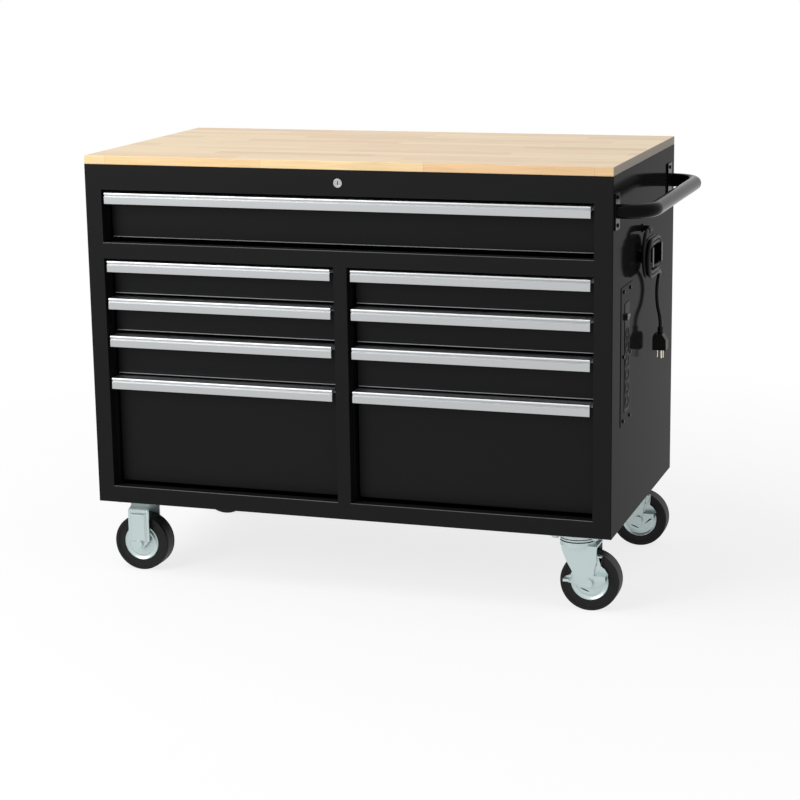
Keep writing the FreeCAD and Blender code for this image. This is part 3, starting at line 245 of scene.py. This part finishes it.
floor_glow = 0.79
lift.inputs["Strength"].default_value = floor_glow
white = floor_nodes.new("ShaderNodeEmission")
both = floor_nodes.new("ShaderNodeAddShader")
floor_spot = floor_nodes.new("ShaderNodeTexCoord")
distance = floor_nodes.new("ShaderNodeVectorMath")
distance.operation = "LENGTH"
fade = floor_nodes.new("ShaderNodeMapRange")
fade_start, fade_end = 0.9, 2.2
fade.inputs["From Min"].default_value = fade_start
fade.inputs["From Max"].default_value = fade_end
faded = floor_nodes.new("ShaderNodeMixShader")
floor_links.new(floor_spot.outputs["Object"], distance.inputs[0])
floor_links.new(distance.outputs["Value"], fade.inputs["Value"])
floor_links.new(fade.outputs["Result"], faded.inputs["Fac"])
floor_links.new(both.outputs["Shader"], faded.inputs[1])
floor_links.new(white.outputs["Emission"], faded.inputs[2])
rays = floor_nodes.new("ShaderNodeLightPath")
shown = floor_nodes.new("ShaderNodeMath")
shown.operation = "MAXIMUM"
chosen = floor_nodes.new("ShaderNodeMixShader")
floor_links.new(rays.outputs["Is Camera Ray"], shown.inputs[0])
floor_links.new(rays.outputs["Is Glossy Ray"], shown.inputs[1])
floor_links.new(seen_floor.outputs["BSDF"], both.inputs[0])
floor_links.new(lift.outputs["Emission"], both.inputs[1])
floor_links.new(shown.outputs["Value"], chosen.inputs["Fac"])
floor_links.new(floor_nodes["Principled BSDF"].outputs["BSDF"], chosen.inputs[1])
floor_links.new(faded.outputs["Shader"], chosen.inputs[2])
floor_links.new(chosen.outputs["Shader"], floor_nodes["Material Output"].inputs["Surface"])
floor.data.materials.append(floor_paint)

world = bpy.data.worlds.new("studio")
bpy.context.scene.world = world
world.use_nodes = True
sky_nodes = world.node_tree.nodes
sky_links = world.node_tree.links
soft_sky = sky_nodes["Background"]
soft_sky.inputs["Strength"].default_value = 0.47
seen_sky = sky_nodes.new("ShaderNodeBackground")
for sky in (soft_sky, seen_sky):
    sky.inputs["Color"].default_value = (1, 1, 1, 1)
sky_rays = sky_nodes.new("ShaderNodeLightPath")
direct = sky_nodes.new("ShaderNodeMath")
direct.operation = "MAXIMUM"
through = sky_nodes.new("ShaderNodeMath")
through.operation = "MAXIMUM"
sky_mix = sky_nodes.new("ShaderNodeMixShader")
sky_links.new(sky_rays.outputs["Is Camera Ray"], direct.inputs[0])
sky_links.new(sky_rays.outputs["Is Glossy Ray"], direct.inputs[1])
sky_links.new(direct.outputs["Value"], through.inputs[0])
sky_links.new(sky_rays.outputs["Is Transmission Ray"], through.inputs[1])
sky_links.new(through.outputs["Value"], sky_mix.inputs["Fac"])
sky_links.new(soft_sky.outputs["Background"], sky_mix.inputs[1])
sky_links.new(seen_sky.outputs["Background"], sky_mix.inputs[2])
sky_links.new(sky_mix.outputs["Shader"], sky_nodes["World Output"].inputs["Surface"])
bpy.context.scene.view_settings.view_transform = "Standard"


def lamp(name, spot, aim, size, power):
    """Square area lamp turned towards a point."""
    light = bpy.data.lights.new(name, "AREA")
    light.size = size
    light.energy = power
    holder = bpy.data.objects.new(name, light)
    bpy.context.scene.collection.objects.link(holder)
    holder.location = spot
    holder.rotation_euler = (Vector(spot) - Vector(aim)).to_track_quat("Z", "Y").to_euler()


cabinet_middle = (0, 0, 0.5)
lamp("top_lamp", (-1.6, -1.2, 4.0), cabinet_middle, size=3.2, power=68)
lamp("front_lamp", (-2.9, -4.3, 2.6), cabinet_middle, size=2.5, power=108)


# Worktop: solid wood staves 43 mm wide, finger-jointed end to end and glued edge to edge, planed
# and lacquered. It lies flush on the steel body. Its front edge is a paler copy of the wood, a painted
# highlight, and its ends show end grain, darker and greyer, partly as painted shade.
def staves(name, pale):
    """Lacquered wood whose staves run along X, each with its own tone and drawn-out grain.

    pale multiplies the tones.
    """
    material = bpy.data.materials.new(name)
    material.use_nodes = True
    nodes = material.node_tree.nodes
    links = material.node_tree.links
    shader = nodes["Principled BSDF"]

    def math_node(operation, first, second):
        node = nodes.new("ShaderNodeMath")
        node.operation = operation
        for index, value in enumerate((first, second)):
            if isinstance(value, (int, float)):
                node.inputs[index].default_value = value
            elif value is not None:
                links.new(value, node.inputs[index])
        return node.outputs["Value"]

    place = nodes.new("ShaderNodeTexCoord")
    parts = nodes.new("ShaderNodeSeparateXYZ")
    links.new(place.outputs["Object"], parts.inputs["Vector"])
    stave_width = 0.0432
    stave_length = 0.36
    row = math_node("DIVIDE", parts.outputs["Y"], stave_width)
    row_number = math_node("FLOOR", row, None)
    shift = nodes.new("ShaderNodeTexWhiteNoise")
    shift.noise_dimensions = "1D"
    links.new(row_number, shift.inputs["W"])
    along = math_node("DIVIDE", parts.outputs["X"], stave_length)
    row_shift = 7.3
    along = math_node("ADD", along, math_node("MULTIPLY", shift.outputs["Value"], row_shift))
    piece_number = math_node("FLOOR", along, None)
    board = nodes.new("ShaderNodeCombineXYZ")
    links.new(row_number, board.inputs["X"])
    links.new(piece_number, board.inputs["Y"])
    tone = nodes.new("ShaderNodeTexWhiteNoise")
    tone.noise_dimensions = "2D"
    links.new(board.outputs["Vector"], tone.inputs["Vector"])
    ramp = nodes.new("ShaderNodeValToRGB")
    links.new(tone.outputs["Value"], ramp.inputs["Fac"])
    tones = ((0.0, (0.66, 0.42, 0.19)), (0.35, (0.76, 0.53, 0.26)), (0.7, (0.82, 0.61, 0.33)),
             (1.0, (0.72, 0.46, 0.23)))
    while len(ramp.color_ramp.elements) < len(tones):
        ramp.color_ramp.elements.new(0.5)
    for element, (position, colour) in zip(ramp.color_ramp.elements, tones):
        element.position = position
        element.color = (*(min(1.0, pale * part) for part in colour), 1)

    drawn = nodes.new("ShaderNodeMapping")
    drawn.inputs["Scale"].default_value = (5, 90, 90)
    links.new(place.outputs["Object"], drawn.inputs["Vector"])
    jump = nodes.new("ShaderNodeVectorMath")
    jump.operation = "MULTIPLY_ADD"
    board_jump = 11
    jump.inputs[1].default_value = (board_jump, board_jump, board_jump)
    links.new(board.outputs["Vector"], jump.inputs[0])
    links.new(drawn.outputs["Vector"], jump.inputs[2])
    grain = nodes.new("ShaderNodeTexNoise")
    grain.inputs["Scale"].default_value = 1.6
    grain.inputs["Detail"].default_value = 6
    grain.inputs["Distortion"].default_value = 0.7
    links.new(jump.outputs["Vector"], grain.inputs["Vector"])
    veins = nodes.new("ShaderNodeMapRange")
    veins.inputs["From Min"].default_value = 0.3
    veins.inputs["From Max"].default_value = 0.75
    veins.inputs["To Min"].default_value = 1.08
    veins.inputs["To Max"].default_value = 0.84
    links.new(grain.outputs["Fac"], veins.inputs["Value"])

    def joint_line(position, width):
        """1 away from a glue line, falling off on it."""
        distance = math_node("PINGPONG", position, 0.5)
        line = nodes.new("ShaderNodeMapRange")
        line.inputs["From Max"].default_value = width
        line.inputs["To Min"].default_value = 0.7
        line.inputs["To Max"].default_value = 1.0
        links.new(distance, line.inputs["Value"])
        return line.outputs["Result"]

    glue = math_node("MULTIPLY", joint_line(row, 0.014), joint_line(along, 0.002))
    shade = math_node("MULTIPLY", veins.outputs["Result"], glue)
    tinted = nodes.new("ShaderNodeMix")
    tinted.data_type = "RGBA"
    tinted.blend_type = "MULTIPLY"
    tinted.inputs["Factor"].default_value = 1.0
    links.new(ramp.outputs["Color"], tinted.inputs["A"])
    links.new(shade, tinted.inputs["B"])
    links.new(tinted.outputs["Result"], shader.inputs["Base Color"])
    shader.inputs["Roughness"].default_value = 0.32
    shader.inputs["Specular IOR Level"].default_value = 0.8
    bump = nodes.new("ShaderNodeBump")
    bump.inputs["Strength"].default_value = 0.12
    bump.inputs["Distance"].default_value = 0.0004
    links.new(shade, bump.inputs["Height"])
    links.new(bump.outputs["Normal"], shader.inputs["Normal"])
    return material


worktop = rework("wood_top", "worktop_board", "cabinet", 0.0012, 3)
worktop.data.materials.append(staves("lacquered_staves", 1.0))
# End faces: the end grain's own darker tone, darkened and greyed further as painted shade.
end_grain_and_shade = surface("end_grain_and_shade", (0.4, 0.35, 0.293), 0.55, grain=350, relief=0.1, gloss=0.2)
worktop.data.materials.append(end_grain_and_shade)
# Front edge: a paler copy of the staves, as a painted highlight.
worktop.data.materials.append(staves("lacquered_front_painted_highlight", 1.23))
for face in worktop.data.polygons:
    at_end = abs(face.normal.x) > 0.7
    at_front = face.normal.y < -0.5
    face.material_index = 1 if at_end else 2 * int(at_front)


# Steel body: folded and spot-welded sheet, powder coated black. The two side sheets are glossier
# than the rest.
side_coat = surface("gloss_coat", (0.013, 0.013, 0.0138), 0.09, grain=260, relief=0.012,
                    spread=0.02, gloss=0.0036)
body_coat = surface("body_coat", (0.006, 0.006, 0.0065), 0.42, grain=500, gloss=0.12)
for side in ("left", "right"):
    panel = rework(f"{side}_side_panel", f"{side}_side_sheet", "cabinet", 0.0004)
    panel.data.materials.append(side_coat)
for node in ("back_panel", "bottom_panel", "center_partition"):
    panel = rework(node, node.replace("panel", "sheet"), "cabinet", 0.0003)
    panel.data.materials.append(body_coat)


# Front frame: one pressing with three openings. Its edges are folded, so they are rounder than
# the sheet's own cut edges behind, and two of its rails have a painted highlight, a paler coat,
# along their upper edge.
# Paler coat that paints a highlight along the upper edges of two rails.
painted_rail_highlight = surface("painted_rail_highlight", (0.1, 0.1, 0.102), 0.35, grain=500, relief=0.02, gloss=0.3)
frame_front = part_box("front_frame")[0].y
pressing = rework("front_frame", "front_pressing", "cabinet", 0.0012, 3,
                  lambda first, second: max(first.y, second.y) < frame_front + 0.0001)
pressing.data.materials.append(body_coat)
pressing.data.materials.append(painted_rail_highlight)
bright_rail_tops = (0.7513, 0.204)
for face in pressing.data.polygons:
    on_edge = min(abs(face.center.z - top) for top in bright_rail_tops) < 0.0012
    face.material_index = int(on_edge and face.normal.y < -0.2 and face.normal.z > 0.2)


# Lock: a nickel-plated barrel with a bezel, and a plug with a keyway and a flat cam.
lock_plate = surface("lock_plate", (0.5, 0.5, 0.51), 0.2, metallic=1.0, grain=600, relief=0.02,
                     spread=0.04)
barrel = rework("lock_barrel", "lock_bezel", "cabinet", 0.0006, 3)
barrel.data.materials.append(lock_plate)
key_plug = rework("lock_plug", "lock_key_plug", "lock_plug", 0.0003)
key_plug.data.materials.append(lock_plate)


# Drawers: a folded steel tray with a pan front, an extruded aluminium pull along its top, two
# telescopic slides and a ribbed rubber liner. One full-width drawer stands over two columns of four.
# All but the two deep ones have a painted highlight, a paler line, on the lower edge of the front.
drawer_names = ["top"] + [f"{side}_{tier}" for side in ("left", "right")
                          for tier in ("upper", "middle", "lower", "bottom")]
pull_skin = surface("pull_anodising", (0.5, 0.512, 0.517), 0.3, metallic=1.0, grain=30, relief=0.03,
                    spread=0.07, stretch=(1, 60, 60))
slide_plate = surface("slide_plate", (0.6, 0.61, 0.62), 0.3, metallic=1.0, grain=300, relief=0.03)
# Paler coat that paints a highlight on the rounded lower edge of the drawer fronts.
painted_hem_highlight = surface("painted_hem_highlight", (0.45, 0.45, 0.46), 0.35, grain=500, relief=0.02)
liner_rubber = surface("liner_rubber", (0.018, 0.018, 0.02), 0.75, grain=1200, relief=0.3)


def liner(drawer):
    """Ribbed mat on the tray's floor: a strip of shallow ridges across the drawer."""
    low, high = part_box(f"{drawer}_tray")
    floor_height = low.z + 0.0051
    margin = 0.009
    cuts = 111
    ridge = 0.0008
    centre = (low + high) / 2
    front = low.y + 0.006
    back = 0.286
    bpy.ops.object.select_all(action="DESELECT")
    bpy.ops.mesh.primitive_plane_add(size=1, location=(centre.x, (front + back) / 2, floor_height))
    mat = bpy.context.object
    mat.name = f"{drawer}_liner"
    mat.scale = (high.x - low.x - 2 * margin, back - front, 1)
    bpy.ops.object.transform_apply(location=True, rotation=True, scale=True)
    bpy.ops.object.mode_set(mode="EDIT")
    mesh = bmesh.from_edit_mesh(mat.data)
    rungs = [edge for edge in mesh.edges if abs(edge.verts[0].co.x - edge.verts[1].co.x) < 0.001]
    bmesh.ops.subdivide_edges(mesh, edges=rungs, cuts=cuts)
    rows = sorted({round(vertex.co.y, 5) for vertex in mesh.verts})
    for vertex in mesh.verts:
        if rows.index(round(vertex.co.y, 5)) % 4 > 1:
            vertex.co.z += ridge
    bmesh.update_edit_mesh(mat.data)
    bpy.ops.object.mode_set(mode="OBJECT")
    skin = mat.modifiers.new("thickness", "SOLIDIFY")
    skin.thickness = 0.0014
    skin.offset = 1.0
    bpy.ops.object.modifier_apply(modifier="thickness")
    mat.data.materials.append(liner_rubber)
    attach(mat, f"{drawer}_drawer")


wall_depth = 0.0042
front_depth = 0.015
hem_depth = 0.003
for drawer in drawer_names:
    body = f"{drawer}_drawer"
    low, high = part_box(f"{drawer}_tray")
    tray = rework(f"{drawer}_tray", f"{drawer}_folded_tray", body, 0.002, 3,
                  lambda first, second: max(first.y, second.y) < low.y + 0.0001)
    for coat in (body_coat, slide_plate, painted_hem_highlight):
        tray.data.materials.append(coat)
    for face in tray.data.polygons:
        outside = min(face.center.x - low.x, high.x - face.center.x) < wall_depth
        behind = face.center.y - low.y
        turned_down = face.normal.y < -0.2 and face.normal.z < -0.2
        if outside and behind > front_depth:
            face.material_index = 1
        elif turned_down and behind < hem_depth and "bottom" not in drawer:
            face.material_index = 2
    pull = rework(f"{drawer}_pull", f"{drawer}_aluminium_pull", body, 0.0004)
    pull.data.materials.append(pull_skin)
    liner(drawer)
    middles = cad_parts[f"{drawer}_slide_middles"]
    middles.data.materials.clear()
    middles.data.materials.append(slide_plate)
fixed_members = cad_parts["slide_cabinet_members"]
fixed_members.data.materials.clear()
fixed_members.data.materials.append(slide_plate)


# Push handle: a bent steel tube welded to two bracket plates, coated black, with pan-head screws.
handle_coat = surface("handle_coat", (0.003, 0.003, 0.0033), 0.16, grain=420, relief=0.03,
                      spread=0.03, gloss=0.05)
handle = rework("push_handle", "bent_push_handle", "cabinet", 0.0005)
handle.data.materials.append(handle_coat)
screws = rework("panel_screws", "pan_head_screws", "cabinet", 0.0004)
screws.data.materials.append(handle_coat)


# Power unit: a coated cover plate, a plastic outlet strip in its window, a rocker and a reset
# button. Each outlet has a raised rim round its slots.
strip_plastic = surface("strip_plastic", (0.005, 0.005, 0.0055), 0.3, grain=1400, relief=0.06,
                        gloss=0.02)
switch_plastic = surface("switch_plastic", (0.006, 0.006, 0.0065), 0.2, relief=0.02, spread=0.03)
plate = rework("power_plate", "power_cover_plate", "cabinet", 0.0006)
plate.data.materials.append(side_coat)
strip = rework("power_strip", "outlet_strip", "cabinet", 0.0006)
strip.data.materials.append(strip_plastic)
rocker = rework("rocker_switch", "rocker_paddle", "rocker", 0.0005)
rocker.data.materials.append(switch_plastic)
button = rework("reset_button", "reset_push_button", "cabinet", 0.0005)
button.data.materials.append(switch_plastic)
strip_low, strip_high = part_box("power_strip")
strip_middle = (strip_low.y + strip_high.y) / 2
lowest_outlet = 0.4325
outlet_pitch = 0.029
rim_radius = 0.0148
rim_width = 0.0011
rim_depth = 0.0012
flat_outside = 0.0128
flat_inside = 0.0117
for outlet in range(6):
    bpy.ops.object.select_all(action="DESELECT")
    spot = (strip_high.x + 0.0002, strip_middle, lowest_outlet + outlet_pitch * outlet)
    bpy.ops.mesh.primitive_cylinder_add(vertices=48, radius=rim_radius, depth=rim_depth, location=spot,
                                        rotation=(0, math.pi / 2, 0))
    rim = bpy.context.object
    rim.name = f"outlet_rim_{outlet + 1}"
    bpy.ops.object.transform_apply(location=True, rotation=True, scale=True)
    bpy.ops.object.mode_set(mode="EDIT")
    bpy.ops.mesh.select_mode(type="FACE")
    bpy.ops.mesh.select_all(action="DESELECT")
    mesh = bmesh.from_edit_mesh(rim.data)
    for face in mesh.faces:
        face.select_set(abs(face.normal.x) > 0.9)
    bmesh.update_edit_mesh(rim.data)
    bpy.ops.mesh.inset(thickness=rim_width)
    bpy.ops.mesh.bridge_edge_loops()
    bpy.ops.mesh.select_all(action="SELECT")
    bpy.ops.mesh.normals_make_consistent(inside=False)
    bpy.ops.object.mode_set(mode="OBJECT")
    for vertex in rim.data.vertices:
        reach = math.hypot(vertex.co.y - spot[1], vertex.co.z - spot[2])
        limit = flat_outside if reach > rim_radius - rim_width / 2 else flat_inside
        vertex.co.z = spot[2] + max(-limit, min(limit, vertex.co.z - spot[2]))
    bpy.ops.object.shade_smooth_by_angle(angle=math.radians(32))
    rim.data.materials.append(strip_plastic)
    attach(rim, "cabinet")


# Cord cleats: two folded steel straps, coated like the push handle.
cleats = rework("cord_cleats", "folded_cord_cleats", "cabinet", 0.0004)
cleats.data.materials.append(handle_coat)


# Casters: pressed steel forks, races, levers and bolts, all bright zinc plate. Two are rigid and
# two swivel on ball races, whose cages are painted as a dark band for their grease and for the
# shade in the gap between the race rings.
zinc = surface("bright_zinc", (0.55, 0.645, 0.64), 0.3, metallic=0.7, grain=45, relief=0.006,
               spread=0.04)
# Dark cage coat: the grease, plus painted shade in the gap between the race rings.
cage_grease_and_shade = surface("cage_grease_and_painted_shade", (0.03, 0.03, 0.032), 0.4, metallic=0.4, grain=300)
swivel_x = 0.4611
swivel_front_y = -0.26125
swivel_rear_y = 0.23675
cage_reach = 0.0354
cage_low, cage_high = 0.1499, 0.1576
for node, body in (("rigid_caster_forks", "cabinet"), ("swivel_top_plates", "cabinet"),
                   ("caster_bolts", "cabinet"), ("front_swivel_fork", "front_swivel"),
                   ("rear_swivel_fork", "rear_swivel"), ("front_brake_lever", "front_brake"),
                   ("rear_brake_lever", "rear_brake")):
    part = rework(node, f"zinc_{node}", body, 0.0006)
    part.data.materials.append(zinc)
    if node == "swivel_top_plates":
        part.data.materials.append(cage_grease_and_shade)
        for face in part.data.polygons:
            middle_y = swivel_front_y if face.center.y < 0 else swivel_rear_y
            reach = math.hypot(face.center.x - swivel_x, face.center.y - middle_y)
            face.material_index = int(cage_low < face.center.z < cage_high and reach < cage_reach)


# Wheels: a black rubber tread moulded on a core with two pressed zinc discs, on a plain bore. The
# swivel wheels' discs have a dark slanting mark below the axle, painted shade standing for a
# stamped slot.
tread_rubber = surface("tread_rubber", (0.009, 0.009, 0.0095), 0.5, grain=700, relief=0.1, gloss=0.2)


def ringed(name, axle, radius, half, rings, bore):
    """Turned piece: a cylinder whose two flat ends are stepped ring by ring and bored through.

    Each ring is its width and how far the end is sunk inside it; bore is the last ring's width.
    """
    bpy.ops.object.select_all(action="DESELECT")
    bpy.ops.mesh.primitive_cylinder_add(vertices=96, radius=radius, depth=2 * half, location=axle,
                                        rotation=(math.pi / 2, 0, 0))
    piece = bpy.context.object
    piece.name = name
    bpy.ops.object.transform_apply(location=True, rotation=True, scale=True)
    bpy.ops.object.mode_set(mode="EDIT")
    bpy.ops.mesh.select_mode(type="FACE")
    for way in (-1, 1):
        bpy.ops.mesh.select_all(action="DESELECT")
        mesh = bmesh.from_edit_mesh(piece.data)
        for face in mesh.faces:
            face.select_set(face.normal.y * way > 0.9 and len(face.verts) > 8)
        bmesh.update_edit_mesh(piece.data)
        for inward, sunk in rings:
            bpy.ops.mesh.inset(thickness=inward)
            bpy.ops.transform.translate(value=(0, -way * sunk, 0))
        bpy.ops.mesh.inset(thickness=bore)
    mesh = bmesh.from_edit_mesh(piece.data)
    for face in mesh.faces:
        face.select_set(abs(face.normal.y) > 0.9 and len(face.verts) > 8)
    bmesh.update_edit_mesh(piece.data)
    bpy.ops.mesh.bridge_edge_loops()
    bpy.ops.mesh.select_all(action="SELECT")
    bpy.ops.mesh.normals_make_consistent(inside=False)
    bpy.ops.object.mode_set(mode="OBJECT")
    bpy.ops.object.shade_smooth_by_angle(angle=math.radians(30))
    return piece


tyre_rings = ((0.0005, 0.0), (0.0045, 0.0003), (0.0008, 0.0006), (0.0045, 0.0002), (0.0006, 0.0006))
disc_rings = ((0.0015, -0.0009), (0.0018, 0.0009), (0.0030, 0.0016), (0.0030, 0.0), (0.0022, -0.0014),
              (0.0131, 0.0), (0.0014, -0.0029))
tyre_radius = 0.0635
tyre_edge = 0.007
for place in ("rigid_front", "rigid_rear", "swivel_front", "swivel_rear"):
    body = f"{place}_wheel_body"
    low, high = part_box(f"{place}_wheel")
    axle = (low + high) / 2
    tyre = ringed(f"{place}_tyre", axle, tyre_radius, 0.0205, tyre_rings, 0.0115)
    tyre.data.materials.append(tread_rubber)
    bpy.ops.object.mode_set(mode="EDIT")
    bpy.ops.mesh.select_mode(type="EDGE")
    bpy.ops.mesh.select_all(action="DESELECT")
    select_sharp(tyre, lambda first, second: tyre_radius - 0.0001 < min(
        math.hypot(end.x - axle.x, end.z - axle.z) for end in (first, second)), 1.2)
    bpy.ops.mesh.bevel(offset=tyre_edge, segments=5, profile=0.5)
    bpy.ops.object.mode_set(mode="OBJECT")
    bpy.ops.object.shade_smooth_by_angle(angle=math.radians(30))
    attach(tyre, body)
    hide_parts(f"{place}_wheel")
    hub = ringed(f"{place}_hub", axle, 0.0404, 0.019, disc_rings, 0.009)
    hub.data.materials.append(zinc)
    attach(hub, body)
    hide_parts(f"{place}_wheel")
    if place.startswith("swivel"):
        # Painted shade: a flat black mark where a stamped slot lies in shade.
        bpy.ops.object.select_all(action="DESELECT")
        bpy.ops.mesh.primitive_uv_sphere_add(segments=24, ring_count=12, radius=0.5,
                                             location=axle + Vector((-0.0098, -0.0186, -0.0188)),
                                             rotation=(0, math.radians(20), 0),
                                             scale=(0.023, 0.001, 0.003))
        slot_shade_mark = bpy.context.object
        slot_shade_mark.name = f"{place}_hub_slot_painted_shade"
        bpy.ops.object.transform_apply(location=True, rotation=True, scale=True)
        bpy.ops.object.shade_smooth()
        slot_shade_mark.data.materials.append(tread_rubber)
        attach(slot_shade_mark, body)
